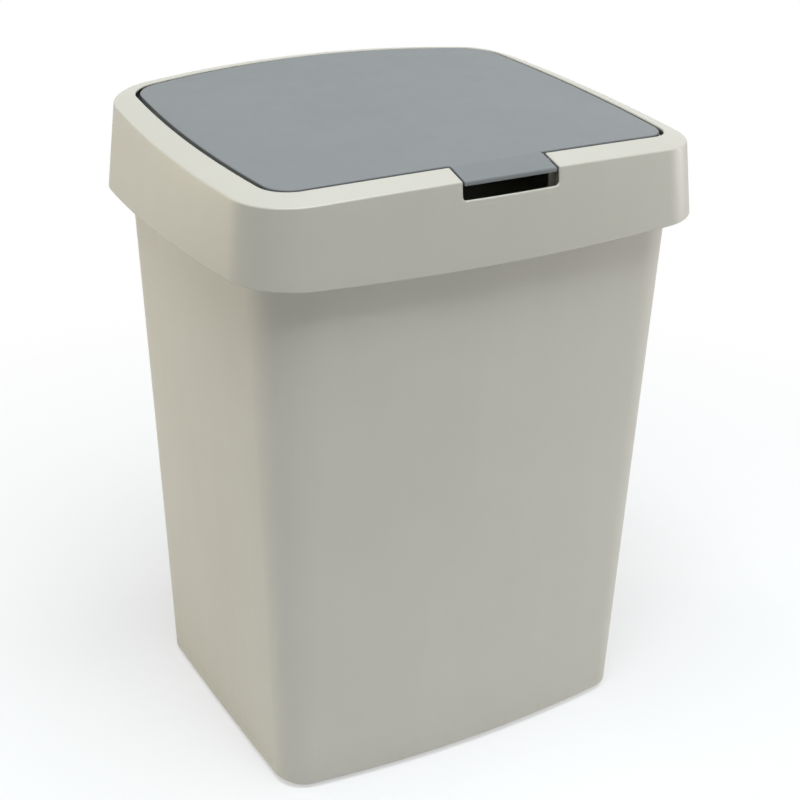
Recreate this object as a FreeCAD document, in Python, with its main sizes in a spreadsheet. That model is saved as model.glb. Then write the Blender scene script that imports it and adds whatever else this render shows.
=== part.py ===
import FreeCAD, Part
import math
import os
import re
import Sketcher

# A flap-lid waste bin: a tapered bucket, a lid frame that caps it, and a flap on two hinge pins.
# The origin is on the floor under the middle of the bucket, +Z is up, and the finger tab faces -Y.

doc = FreeCAD.newDocument("flap_lid_bin")

# The driving sizes, in millimetres, with what each one is.
SIZES = (
    ("bucket_height", 490.0, "floor to the top of the bucket's rim"),
    ("bucket_top_width", 378.2, "bucket wall at the rim, side to side at the middle"),
    ("bucket_top_depth", 328.0, "bucket wall at the rim, front to back at the middle"),
    ("bucket_top_side_bow", 9.8, "how far the left and right walls bow out at the rim"),
    ("bucket_top_front_bow", 16.6, "how far the front and back walls bow out at the rim"),
    ("bucket_top_corner", 49.0, "upright corner radius at the rim"),
    ("foot_width", 333.0, "bucket wall at the floor, side to side"),
    ("foot_depth", 282.0, "bucket wall at the floor, front to back"),
    ("foot_side_bow", 1.4, "bow of the left and right walls at the floor"),
    ("foot_front_bow", 13.4, "bow of the front and back walls at the floor"),
    ("foot_corner", 34.0, "upright corner radius at the floor"),
    ("foot_chamfer", 5.5, "bevel round the foot"),
    ("bucket_wall", 2.6, "bucket wall thickness"),
    ("bucket_floor", 3.6, "bucket floor thickness"),
    ("floor_radius", 9.0, "inside radius between the floor and the walls"),
    ("foot_ring", 14.0, "width of the ring that the bucket stands on"),
    ("foot_recess", 1.4, "how far the floor is raised inside the foot ring"),
    ("flange_reach", 4.6, "how far the turned-out rim stands out from the wall"),
    ("flange_thickness", 2.6, "thickness of the turned-out rim"),
    ("flange_hem", 11.0, "height of the rim with its turned-down hem"),
    ("hem_thickness", 2.0, "thickness of the hem"),
    ("skirt_overlap", 36.8, "how far the lid skirt reaches down past the bucket's rim"),
    ("skirt_side_reach", 11.8, "bucket's rim out to the skirt's lower edge, at the left and right"),
    ("skirt_front_reach", 8.15, "bucket's rim out to the skirt's lower edge, at the front and back"),
    ("skirt_side_bow", 11.0, "bow of the skirt's left and right faces"),
    ("skirt_front_bow", 19.4, "bow of the skirt's front and back faces"),
    ("skirt_corner", 56.0, "upright corner radius of the skirt's lower edge"),
    ("skirt_lean_share", 0.109, "how far the skirt leans in for each unit of height"),
    ("lid_rise", 40.3, "bucket's rim up to the crown over the middle of the lid"),
    ("lid_tilt", 2.76, "angle by which the lid rises to the back"),
    ("crown_radius", 2090.0, "radius of the crown across the lid"),
    ("rim_width", 18.0, "width of the sloping rim round the flap"),
    ("rim_drop", 4.6, "how far the rim falls to its outer edge"),
    ("frame_wall", 2.4, "wall thickness of the lid frame"),
    ("opening_corner", 28.0, "corner radius of the opening for the flap"),
    ("lip_setback", 4.5, "how far the rim overhangs the lip round the opening"),
    ("lip_clearance", 4.0, "bucket's rim up to the lip's lower edge"),
    ("ledge_reach", 5.0, "how far the ledge under the flap stands in past the rim's edge"),
    ("ledge_thickness", 2.2, "thickness of that ledge"),
    ("ledge_end", 14.0, "hinge axis forward to the end of the ledge"),
    ("flap_gap", 2.8, "gap between the flap and the opening"),
    ("flap_sink", 0.4, "how far the flap lies below the rim's inner edge"),
    ("flap_skin", 2.4, "thickness of the flap's skin"),
    ("flap_edge", 6.0, "height of the flap's turned-down edge"),
    ("flap_edge_thickness", 2.0, "thickness of that edge"),
    ("rest_clearance", 0.3, "gap between pieces that rest on each other"),
    ("notch_width", 82.0, "width of the notch and slot for the finger tab"),
    ("slot_drop", 27.1, "crown over the middle of the lid down to the slot's lower edge"),
    ("slot_corner", 3.0, "corner radius of the slot"),
    ("tab_gap", 1.3, "gap at each side of the finger tab"),
    ("tab_edge", 3.5, "height of the finger tab's front edge"),
    ("hinge_inset", 40.0, "hinge axis to the back of the opening"),
    ("hinge_drop", 8.9, "crown over the middle of the lid down to the hinge axis"),
    ("pin_radius", 2.2, "hinge pin radius"),
    ("pin_head_radius", 3.8, "hinge pin head radius"),
    ("pin_head_thickness", 1.6, "hinge pin head thickness"),
    ("pin_clearance", 0.05, "radial clearance of the pins in their holes"),
    ("boss_radius", 5.0, "radius of the frame's hinge bosses"),
    ("boss_inner_inset", 6.0, "widest side of the opening in to a boss's inner face"),
    ("boss_outer_reach", 3.0, "widest side of the opening out to a boss's outer face"),
    ("boss_end", 1.2, "closed end of a boss behind its hole"),
    ("lug_radius", 4.6, "radius of the flap's hinge lugs"),
    ("lug_inset", 11.0, "widest side of the opening in to a lug's outer face"),
    ("lug_length", 12.0, "length of a hinge lug"),
    ("web_thickness", 1.8, "thickness of the webs inside the lid frame"),
    ("web_pitch", 96.0, "spacing of the webs along each side"),
    ("web_tooth", 12.0, "how far a web reaches down outside the bucket's rim"),
    ("tooth_clearance", 0.5, "gap between a web's tooth and the bucket's rim"),
    ("rib_thickness", 1.5, "thickness of the ribs under the flap"),
    ("rib_pitch", 58.0, "spacing of the ribs under the flap"),
    ("rib_relief", 0.6, "how far the ribs stay above the flap's lower edge"),
    ("overrun", 12.0, "how far cutting shapes run past what they cut"),
)
# Sizes that follow from those, so that the lid goes where the bucket's rim is and the hinge where the crown is.
FOLLOWING = (
    ("skirt_width", "=bucket_top_width + 2 * (flange_reach + skirt_side_reach)", "skirt's lower edge, side to side"),
    ("skirt_depth", "=bucket_top_depth + 2 * (flange_reach + skirt_front_reach)", "skirt's lower edge, front to back"),
    ("skirt_bottom", "=bucket_height - skirt_overlap", "height of the skirt's lower edge"),
    ("lip_bottom", "=bucket_height + lip_clearance", "height of the lip's lower edge"),
    ("lid_height", "=bucket_height + lid_rise", "height of the crown over the middle of the lid"),
    ("slot_bottom", "=lid_height - slot_drop", "height of the slot's lower edge"),
    ("hinge_height", "=lid_height - hinge_drop", "height of the hinge axis"),
)
NAMES = {alias for alias, _, _ in SIZES + FOLLOWING}

sheet = doc.addObject("Spreadsheet::Sheet", "Sizes")
for row, (alias, value, meaning) in enumerate(SIZES + FOLLOWING, start=1):
    sheet.set(f"A{row}", meaning)
    sheet.set(f"B{row}", str(value))
    sheet.setAlias(f"B{row}", alias)
doc.recompute()


def bound(text):
    """The expression text with each size's name pointing at its cell."""
    return re.sub(r"[a-z]\w*", lambda word: f"Sizes.{word[0]}" if word[0] in NAMES else word[0], text)


def size(text):
    """The number that an expression in the sizes' names gives."""
    return float(sheet.evalExpression(bound(text)))


# Outlines. Every plan outline is a rectangle with bowed sides and rounded corners, centred on the origin.

class Outline:
    """A bowed rectangle as expressions: half sizes at mid-side, side and front arc radii, corner radius."""

    def __init__(self, width, depth, side_bow, front_bow, corner):
        self.half_width = f"({width}) / 2"
        self.half_depth = f"({depth}) / 2"
        side_chord = f"(({depth}) / 2 - ({front_bow}))"
        front_chord = f"(({width}) / 2 - ({side_bow}))"
        self.side_radius = f"({side_chord}^2 + ({side_bow})^2) / (2 * ({side_bow}))"
        self.front_radius = f"({front_chord}^2 + ({front_bow})^2) / (2 * ({front_bow}))"
        self.corner = corner

    def inset(self, distance, corner=None):
        """This outline moved inwards by a distance, with its corner radius kept parallel unless given."""
        result = Outline.__new__(Outline)
        for name in ("half_width", "half_depth", "side_radius", "front_radius", "corner"):
            setattr(result, name, f"({getattr(self, name)}) - ({distance})")
        if corner:
            result.corner = corner
        return result


def blend(low, high, height):
    """A bucket size that runs from its value at the floor to its value at the rim."""
    return f"{low} + ({high} - {low}) * ({height}) / bucket_height"


def bucket_outline(height):
    """The bucket wall's outside at a height."""
    return Outline(
        blend("foot_width", "bucket_top_width", height),
        blend("foot_depth", "bucket_top_depth", height),
        blend("foot_side_bow", "bucket_top_side_bow", height),
        blend("foot_front_bow", "bucket_top_front_bow", height),
        blend("foot_corner", "bucket_top_corner", height),
    )


def skirt_outline(height, wall="0"):
    """The lid skirt's outside at a height, moved in by a wall."""
    lean = f"skirt_lean_share * (({height}) - skirt_bottom)"
    skirt = Outline("skirt_width", "skirt_depth", "skirt_side_bow", "skirt_front_bow", "skirt_corner")
    return skirt.inset(f"{lean} + ({wall})", f"skirt_corner - {lean} / 2 - ({wall})")


def opening_outline(clearance="0"):
    """The opening for the flap: the rim's outer edge moved in by the rim's width."""
    edge = skirt_outline("lid_height - rim_drop")
    return edge.inset(f"rim_width + ({clearance})", f"opening_corner - ({clearance})")


# Sketches and features

def origin_plane(body, role):
    return next(feature for feature in body.Origin.OriginFeatures if feature.Role == role)


def new_body(name):
    return doc.addObject("PartDesign::Body", name)


def new_sketch(body, name, role, height="0"):
    sketch = body.newObject("Sketcher::SketchObject", name)
    sketch.AttachmentSupport = [(origin_plane(body, role), "")]
    sketch.MapMode = "FlatFace"
    sketch.setExpression("AttachmentOffset.Base.z", bound(height))
    return sketch


def constrain(sketch, name, kind, *where, to):
    """Adds a named dimension that follows an expression in the sizes."""
    index = sketch.addConstraint(Sketcher.Constraint(kind, *where, size(to)))
    sketch.renameConstraint(index, name)
    sketch.setExpression(f"Constraints.{name}", bound(to))


START, END, CENTRE = 1, 2, 3
X_AXIS, Y_AXIS = -1, -2
ORIGIN = (-1, 1)


def outline_sketch(body, name, outline, height):
    """A level sketch of a bowed rectangle: four long arcs joined by four tangent corner arcs."""
    sketch = new_sketch(body, name, "XY_Plane", height)
    add_outline(sketch, outline, "outer")
    return sketch


def add_outline(sketch, outline, prefix):
    half_width = size(outline.half_width)
    half_depth = size(outline.half_depth)
    side_radius = size(outline.side_radius)
    front_radius = size(outline.front_radius)
    corner = size(outline.corner)
    # The corner's centre lies inside both long arcs by its own radius.
    across = side_radius - half_width
    along = front_radius - half_depth
    spacing = math.hypot(across, along)
    from_side = side_radius - corner
    from_front = front_radius - corner
    run = (spacing**2 + from_side**2 - from_front**2) / (2 * spacing)
    rise = math.sqrt(from_side**2 - run**2)
    corner_x = -across + (run * across + rise * along) / spacing
    corner_y = (-run * along + rise * across) / spacing
    side_turn = math.atan2(corner_y, corner_x + across)
    front_turn = math.atan2(corner_y + along, corner_x)
    first = sketch.GeometryCount
    for quarter, (sign_x, sign_y) in enumerate(((1, 1), (-1, 1), (-1, -1), (1, -1))):
        # Each quarter: the long arc that ends at its corner, then the corner arc, anticlockwise.
        start_on_side = quarter % 2 == 0
        if start_on_side:
            centre, radius, turn = (-across * sign_x, 0), side_radius, side_turn
            middle = 0 if sign_x > 0 else math.pi
            corner_start, corner_end = side_turn, front_turn
        else:
            centre, radius, turn = (0, -along * sign_y), front_radius, math.pi / 2 - front_turn
            middle = math.pi / 2 * sign_y
            corner_start, corner_end = math.pi / 2 - front_turn, math.pi / 2 - side_turn
        base = quarter * math.pi / 2
        circle = Part.Circle(FreeCAD.Vector(*centre, 0), FreeCAD.Vector(0, 0, 1), radius)
        sketch.addGeometry(Part.ArcOfCircle(circle, middle - turn, middle + turn), False)
        circle = Part.Circle(FreeCAD.Vector(corner_x * sign_x, corner_y * sign_y, 0), FreeCAD.Vector(0, 0, 1), corner)
        sketch.addGeometry(Part.ArcOfCircle(circle, base + corner_start, base + corner_end), False)
    for step in range(8):
        after = first + (step + 1) % 8
        sketch.addConstraint(Sketcher.Constraint("Tangent", first + step, END, after, START))
    for quarter in range(4):
        long_arc = first + 2 * quarter
        on_side = quarter % 2 == 0
        axis = X_AXIS if on_side else Y_AXIS
        sketch.addConstraint(Sketcher.Constraint("PointOnObject", long_arc, CENTRE, axis))
        kind = "DistanceX" if on_side else "DistanceY"
        radius = outline.side_radius if on_side else outline.front_radius
        half = outline.half_width if on_side else outline.half_depth
        ends = (long_arc, CENTRE, *ORIGIN) if quarter in (0, 1) else (*ORIGIN, long_arc, CENTRE)
        constrain(sketch, f"{prefix}_centre_{quarter}", kind, *ends, to=f"({radius}) - ({half})")
        constrain(sketch, f"{prefix}_radius_{quarter}", "Radius", long_arc, to=radius)
        constrain(sketch, f"{prefix}_corner_{quarter}", "Radius", long_arc + 1, to=outline.corner)


def add_loft(body, name, kind, first, *others):
    """A loft of straight lines through level sketches, added to its body or taken from it."""
    loft = body.newObject(f"PartDesign::{kind}Loft", name)
    loft.Profile = first
    loft.Sections = list(others)
    loft.Ruled = True
    return loft


def add_pad(body, name, sketch, length):
    pad = body.newObject("PartDesign::Pad", name)
    pad.Profile = sketch
    pad.setExpression("Length", bound(length))
    return pad


def edge_names(shape, wanted):
    """The names that a shape gives to the wanted edges."""
    names = []
    for index, edge in enumerate(shape.Edges, start=1):
        if any(edge.isSame(other) for other in wanted):
            names.append(f"Edge{index}")
    return names


def add_polygon(sketch, points):
    """A closed run of straight lines whose corners are all placed by expressions."""
    corners = [FreeCAD.Vector(size(x), size(y), 0) for x, y in points]
    first = sketch.GeometryCount
    count = len(points)
    for index in range(count):
        sketch.addGeometry(Part.LineSegment(corners[index], corners[(index + 1) % count]), False)
    for index in range(count):
        sketch.addConstraint(Sketcher.Constraint("Coincident", first + index, END, first + (index + 1) % count, START))
    for index, point in enumerate(points):
        for kind, axis, text in (("DistanceX", Y_AXIS, point[0]), ("DistanceY", X_AXIS, point[1])):
            corner = (first + index, START)
            if size(text) == 0:
                sketch.addConstraint(Sketcher.Constraint("PointOnObject", *corner, axis))
            elif size(text) > 0:
                constrain(sketch, f"{kind}_{index}", kind, *ORIGIN, *corner, to=text)
            else:
                constrain(sketch, f"{kind}_{index}", kind, *corner, *ORIGIN, to=f"-({text})")


def crown_cut(body, drop):
    """Cuts away all that is above the crown: a wide arc, swept along a line that rises to the back."""
    sketch = new_sketch(body, f"{body.Name}_crown_profile", "XZ_Plane")
    sketch.AttachmentOffset = FreeCAD.Placement(FreeCAD.Vector(), FreeCAD.Rotation(FreeCAD.Vector(1, 0, 0), 1))
    sketch.setExpression("AttachmentOffset.Base.y", bound(f"lid_height - ({drop})"))
    sketch.setExpression("AttachmentOffset.Rotation.Angle", bound("lid_tilt"))
    radius = size("crown_radius")
    reach = size("skirt_width / 2 + overrun")
    top = size("rim_width + overrun")
    fall = radius - math.sqrt(radius**2 - reach**2)
    turn = math.asin(reach / radius)
    circle = Part.Circle(FreeCAD.Vector(0, -radius, 0), FreeCAD.Vector(0, 0, 1), radius)
    corners = ((-reach, -fall), (-reach, top), (reach, top), (reach, -fall))
    points = [FreeCAD.Vector(*corner, 0) for corner in corners]
    sketch.addGeometry(Part.ArcOfCircle(circle, math.pi / 2 - turn, math.pi / 2 + turn), False)
    for start, end in zip(points, points[1:]):
        sketch.addGeometry(Part.LineSegment(start, end), False)
    for line in range(4):
        sketch.addConstraint(Sketcher.Constraint("Coincident", line, END, (line + 1) % 4, START))
    sketch.addConstraint(Sketcher.Constraint("Vertical", 1))
    sketch.addConstraint(Sketcher.Constraint("Horizontal", 2))
    sketch.addConstraint(Sketcher.Constraint("PointOnObject", 0, CENTRE, Y_AXIS))
    sketch.addConstraint(Sketcher.Constraint("Symmetric", 0, START, 0, END, Y_AXIS))
    sketch.addConstraint(Sketcher.Constraint("Vertical", 3))
    constrain(sketch, "radius", "Radius", 0, to="crown_radius")
    constrain(sketch, "depth", "DistanceY", 0, CENTRE, *ORIGIN, to="crown_radius")
    constrain(sketch, "width", "DistanceX", 2, START, 2, END, to="skirt_width + 2 * overrun")
    constrain(sketch, "top", "DistanceY", *ORIGIN, 2, START, to="rim_width + overrun")
    pocket = body.newObject("PartDesign::Pocket", f"{body.Name}_crown")
    pocket.Profile = sketch
    pocket.Type = "ThroughAll"
    pocket.Midplane = True
    return pocket


def rim_slope(body, crowned):
    """Bevels the crown's outer edge into the sloping rim."""
    doc.recompute()
    crown_face = max(crowned.Shape.Faces, key=lambda face: face.CenterOfMass.z)
    rim = body.newObject("PartDesign::Chamfer", f"{body.Name}_rim")
    rim.Base = (crowned, edge_names(crowned.Shape, crown_face.Edges))
    rim.ChamferType = "Two distances"
    rim.setExpression("Size", bound("rim_drop"))
    rim.setExpression("Size2", bound("rim_width"))
    return rim


def lid_form(name, wall, low_edge):
    """The lid's outer form, moved in and down by a wall: leaning skirt, crown and sloping rim."""
    body = new_body(name)
    top = "lid_height + overrun"
    low = outline_sketch(body, f"{name}_low", skirt_outline(low_edge, wall), low_edge)
    high = outline_sketch(body, f"{name}_high", skirt_outline(top, wall), top)
    add_loft(body, f"{name}_skirt", "Additive", low, high)
    rim_slope(body, crown_cut(body, wall))
    return body


def prism(name, outline, low, high):
    """An upright prism on a bowed outline."""
    body = new_body(name)
    sketch = outline_sketch(body, f"{name}_outline", outline, low)
    add_pad(body, f"{name}_pad", sketch, f"{high} - ({low})")
    return body


def crowned_prism(name, outline, low, drop):
    """An upright prism whose top follows the crown, lowered by a drop."""
    body = prism(name, outline, low, "lid_height + overrun")
    crown_cut(body, drop)
    return body


def box(name, length, width, height, x, y, z):
    """A box from its sizes and its lowest corner, all as expressions."""
    solid = doc.addObject("Part::Box", name)
    for key, value in (("Length", length), ("Width", width), ("Height", height)):
        solid.setExpression(key, bound(value))
    for key, value in (("x", x), ("y", y), ("z", z)):
        solid.setExpression(f"Placement.Base.{key}", bound(value))
    return solid


def rod(name, radius, start, length):
    """A cylinder along +X on the hinge axis."""
    solid = doc.addObject("Part::Cylinder", name)
    solid.Placement = FreeCAD.Placement(FreeCAD.Vector(), FreeCAD.Rotation(FreeCAD.Vector(0, 1, 0), 90))
    solid.setExpression("Radius", bound(radius))
    solid.setExpression("Height", bound(length))
    for key, value in (("x", start), ("y", HINGE_Y), ("z", "hinge_height")):
        solid.setExpression(f"Placement.Base.{key}", bound(value))
    return solid


def cut(name, base, tool):
    result = doc.addObject("Part::Cut", name)
    result.Base = base
    result.Tool = tool
    return result


def fuse(name, *pieces):
    result = doc.addObject("Part::MultiFuse", name)
    result.Shapes = list(pieces)
    return result


def common(name, *pieces):
    result = doc.addObject("Part::MultiCommon", name)
    result.Shapes = list(pieces)
    return result


SIDES = ("left", "right")
LOWEST = "skirt_bottom - 2 * overrun"
BELOW = "skirt_bottom - overrun"
ABOVE = "lid_height + overrun"
OPENING = opening_outline()
HINGE_Y = f"({OPENING.half_depth}) - hinge_inset"
OPENING_SIDE = f"({OPENING.half_width})"


# The bucket

FLOOR_TURNS = 4
WALL_STEPS = 4


def wall_heights(low):
    """Evenly spaced heights from above a low end up to the rim, so that no stretch of wall twists much."""
    return [f"{low} + (bucket_height - ({low})) * {step} / {WALL_STEPS}" for step in range(1, WALL_STEPS + 1)]


def make_bucket():
    body = new_body("bucket")
    walls = [outline_sketch(body, "bucket_sole", bucket_outline("0").inset("foot_chamfer"), "0")]
    for step, height in enumerate(["foot_chamfer", *wall_heights("foot_chamfer")]):
        walls.append(outline_sketch(body, f"bucket_wall_{step}", bucket_outline(height), height))
    add_loft(body, "bucket_walls", "Additive", *walls)
    # The inside's sections climb the floor's rounding in equal turns, then the walls up to the mouth.
    levels = []
    for step in range(FLOOR_TURNS + 1):
        turn = f"{90 / FLOOR_TURNS * step} deg"
        height = f"bucket_floor + floor_radius * (1 - cos({turn}))"
        levels.append((height, f"bucket_wall + floor_radius * (1 - sin({turn}))"))
    levels += [(height, "bucket_wall") for height in wall_heights("bucket_floor + floor_radius")]
    inside = []
    for step, (height, inset) in enumerate(levels):
        inside.append(outline_sketch(body, f"bucket_inside_{step}", bucket_outline(height).inset(inset), height))
    add_loft(body, "bucket_inside", "Subtractive", *inside)
    flange_edge = bucket_outline("bucket_height").inset("-flange_reach")
    flange = new_sketch(body, "bucket_flange_outline", "XY_Plane", "bucket_height - flange_thickness")
    add_outline(flange, flange_edge, "edge")
    add_outline(flange, bucket_outline("bucket_height").inset("bucket_wall / 2"), "mouth")
    add_pad(body, "bucket_flange", flange, "flange_thickness")
    hem = new_sketch(body, "bucket_hem_outline", "XY_Plane", "bucket_height - flange_hem")
    add_outline(hem, flange_edge, "edge")
    add_outline(hem, flange_edge.inset("hem_thickness"), "inner")
    add_pad(body, "bucket_hem", hem, "flange_hem")
    recess = outline_sketch(body, "bucket_recess_outline", bucket_outline("0").inset("foot_chamfer + foot_ring"), "0")
    pocket = body.newObject("PartDesign::Pocket", "bucket_recess")
    pocket.Profile = recess
    pocket.Reversed = True
    pocket.setExpression("Length", bound("foot_recess"))
    return body


# The lid frame

def make_lid_frame():
    outside = lid_form("frame_outside", "0", "skirt_bottom")
    inside = lid_form("frame_inside", "frame_wall", BELOW)
    shell = cut("frame_shell", outside, inside)
    lip_edge = opening_outline("-(lip_setback + frame_wall)")
    lip = common("frame_lip", prism("frame_lip_block", lip_edge, "lip_bottom", ABOVE), outside)
    solid = fuse("frame_solid", shell, lip, make_webs(outside))
    within_lip = prism("frame_within_lip", opening_outline("-lip_setback"), BELOW, ABOVE)
    hollow = fuse("frame_hollow", common("frame_under_rim", within_lip, inside), prism("frame_opening", OPENING, BELOW, ABOVE))
    opened = cut("frame_opened", solid, hollow)
    bosses = [make_boss(side, outside) for side in SIDES]
    whole = fuse("frame_whole", opened, make_ledge(), *bosses)
    holes = [boss_hole(side) for side in SIDES]
    return cut("lid_frame", whole, fuse("frame_cuts", make_notch(), *holes))


def make_webs(outside):
    """Webs across the lid, later cut away inside the lip, that sit on the bucket's rim and locate on its hem."""
    low = "bucket_height - web_tooth"
    height = f"{ABOVE} - ({low})"
    webs = []
    for index in range(4):
        x = f"web_pitch * ({index} - 1.5) - web_thickness / 2"
        webs.append(box(f"web_lengthwise_{index}", "web_thickness", "skirt_depth", height, x, "-skirt_depth / 2", low))
    for index in range(3):
        y = f"web_pitch * ({index} - 1) - web_thickness / 2"
        webs.append(box(f"web_crosswise_{index}", "skirt_width", "web_thickness", height, "-skirt_width / 2", y, low))
    trimmed = common("webs_trimmed", fuse("webs_all", *webs), outside)
    rim_room = bucket_outline("bucket_height").inset("-(flange_reach + tooth_clearance)")
    return cut("webs", trimmed, prism("bucket_rim_room", rim_room, BELOW, "bucket_height + rest_clearance"))


def make_ledge():
    """The ledge that the shut flap rests on: a crowned band inside the lip, left out at the hinge."""
    top_drop = "flap_sink + flap_edge + rest_clearance"
    edge = opening_outline("-(lip_setback + frame_wall / 2)")
    slab = crowned_prism("ledge_slab", edge, "lip_bottom", top_drop)
    room = crowned_prism("ledge_room", opening_outline("-(lip_setback + frame_wall)"), BELOW, f"{top_drop} + ledge_thickness")
    middle = prism("ledge_middle", opening_outline("ledge_reach"), BELOW, ABOVE)
    behind = box(
        "ledge_behind", "skirt_width", "skirt_depth", f"{ABOVE} - ({BELOW})", "-skirt_width / 2", f"{HINGE_Y} - ledge_end", BELOW
    )
    return cut("ledge", slab, fuse("ledge_cuts", room, middle, behind))


def side_start(side, inner, length):
    """Where a rod along +X starts whose inner end lies at a distance from the middle plane."""
    return inner if side == "right" else f"-(({inner}) + ({length}))"


def make_boss(side, outside):
    length = "boss_inner_inset + boss_outer_reach"
    start = side_start(side, f"{OPENING_SIDE} - boss_inner_inset", length)
    return common(f"boss_{side}", rod(f"boss_{side}_round", "boss_radius", start, length), outside)


def boss_hole(side):
    length = "overrun + boss_inner_inset + boss_outer_reach - boss_end"
    start = side_start(side, f"{OPENING_SIDE} - boss_inner_inset - overrun", length)
    return rod(f"boss_{side}_hole", "pin_radius + pin_clearance", start, length)


def make_notch():
    """The notch in the rim for the finger tab, which runs down the skirt as the finger slot."""
    body = new_body("notch")
    sketch = new_sketch(body, "notch_outline", "XZ_Plane", f"{OPENING.half_depth} - overrun")
    half = size("notch_width / 2")
    low = size("slot_bottom")
    high = size(ABOVE)
    corner = size("slot_corner")
    points = [(-half, high), (-half, low + corner), (-half + corner, low), (half - corner, low), (half, low + corner), (half, high)]
    vectors = [FreeCAD.Vector(*point, 0) for point in points]
    for index in range(6):
        if index in (1, 3):
            centre = FreeCAD.Vector((-1 if index == 1 else 1) * (half - corner), low + corner, 0)
            turn = math.pi if index == 1 else 3 * math.pi / 2
            circle = Part.Circle(centre, FreeCAD.Vector(0, 0, 1), corner)
            sketch.addGeometry(Part.ArcOfCircle(circle, turn, turn + math.pi / 2), False)
        else:
            sketch.addGeometry(Part.LineSegment(vectors[index], vectors[(index + 1) % 6]), False)
    for index in (0, 1, 2, 3):
        sketch.addConstraint(Sketcher.Constraint("Tangent", index, END, index + 1, START))
    for index in (4, 5):
        sketch.addConstraint(Sketcher.Constraint("Coincident", index, END, (index + 1) % 6, START))
    for index, kind in ((0, "Vertical"), (4, "Vertical"), (2, "Horizontal")):
        sketch.addConstraint(Sketcher.Constraint(kind, index))
    sketch.addConstraint(Sketcher.Constraint("Symmetric", 0, START, 5, START, Y_AXIS))
    constrain(sketch, "width", "DistanceX", 0, START, 5, START, to="notch_width")
    constrain(sketch, "low", "DistanceY", *ORIGIN, 2, START, to="slot_bottom")
    constrain(sketch, "high", "DistanceY", *ORIGIN, 0, START, to=ABOVE)
    constrain(sketch, "corner_left", "Radius", 1, to="slot_corner")
    constrain(sketch, "corner_right", "Radius", 3, to="slot_corner")
    add_pad(body, "notch_pad", sketch, f"skirt_depth / 2 + 2 * overrun - ({OPENING.half_depth})")
    return body


# The flap

def make_flap():
    outside = lid_form("flap_outside", "flap_sink", BELOW)
    inside = lid_form("flap_inside", "flap_sink + flap_skin", BELOW)
    plan = fuse("flap_plan", prism("flap_panel", opening_outline("flap_gap"), BELOW, ABOVE), tab_box("flap_tab", "tab_gap"))
    blank = common("flap_blank", outside, plan)
    inner_edge = opening_outline("flap_gap + flap_edge_thickness")
    inner_plan = fuse(
        "flap_inner_plan",
        prism("flap_inner_panel", inner_edge, BELOW, ABOVE),
        tab_box("flap_inner_tab", "tab_gap + flap_edge_thickness"),
    )
    hollow = common("flap_hollow", inside, inner_plan)
    under_panel = crowned_prism("flap_under_panel", OPENING, LOWEST, "flap_sink + flap_edge")
    under_tab = crowned_prism("flap_under_tab", skirt_outline(LOWEST), LOWEST, "flap_sink + rim_drop + tab_edge")
    skin = cut("flap_skin_solid", blank, fuse("flap_waste", hollow, under_panel, under_tab))
    lugs = [make_lug(side) for side in SIDES]
    solid = fuse("flap_solid", skin, make_ribs(), *lugs)
    holes = [lug_hole(side) for side in SIDES]
    return cut("flap", solid, fuse("flap_holes", *holes))


def tab_box(name, side_inset):
    """The finger tab's plan: from well inside the panel out past the skirt."""
    half = f"notch_width / 2 - ({side_inset})"
    front = "-(skirt_depth / 2 + overrun)"
    length = f"skirt_depth / 2 + 2 * overrun - ({OPENING.half_depth})"
    return box(name, f"2 * ({half})", length, f"{ABOVE} - ({BELOW})", f"-({half})", front, BELOW)


def make_ribs():
    """A grid of shallow ribs under the flap's skin."""
    height = f"{ABOVE} - ({BELOW})"
    ribs = []
    for index in range(5):
        x = f"rib_pitch * ({index} - 2) - rib_thickness / 2"
        ribs.append(box(f"rib_lengthwise_{index}", "rib_thickness", "skirt_depth", height, x, "-skirt_depth / 2", BELOW))
    for index in range(4):
        y = f"rib_pitch * ({index} - 1.5) - rib_thickness / 2"
        ribs.append(box(f"rib_crosswise_{index}", "skirt_width", "rib_thickness", height, "-skirt_width / 2", y, BELOW))
    inner_edge = opening_outline("flap_gap + flap_edge_thickness / 2")
    band = crowned_prism("rib_band", inner_edge, BELOW, "flap_sink + flap_skin / 2")
    under = crowned_prism("rib_under", OPENING, LOWEST, "flap_sink + flap_edge - rib_relief")
    return cut("ribs", common("ribs_crowned", fuse("ribs_all", *ribs), band), under)


def make_lug(side):
    """A hinge lug: a round eye on the hinge axis with a root up to the skin."""
    start = side_start(side, f"{OPENING_SIDE} - lug_inset - lug_length", "lug_length")
    eye = rod(f"lug_{side}_eye", "lug_radius", start, "lug_length")
    root = box(
        f"lug_{side}_root",
        "lug_length",
        "2 * lug_radius",
        f"{ABOVE} - hinge_height",
        start,
        f"{HINGE_Y} - lug_radius",
        "hinge_height",
    )
    under_skin = crowned_prism(f"lug_{side}_limit", opening_outline("flap_gap"), BELOW, "flap_sink + flap_skin / 2")
    return common(f"lug_{side}", fuse(f"lug_{side}_full", eye, root), under_skin)


def lug_hole(side):
    length = "lug_length + 2 * overrun"
    start = side_start(side, f"{OPENING_SIDE} - lug_inset - lug_length - overrun", length)
    return rod(f"lug_{side}_hole", "pin_radius + pin_clearance", start, length)


# The hinge pins

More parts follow.
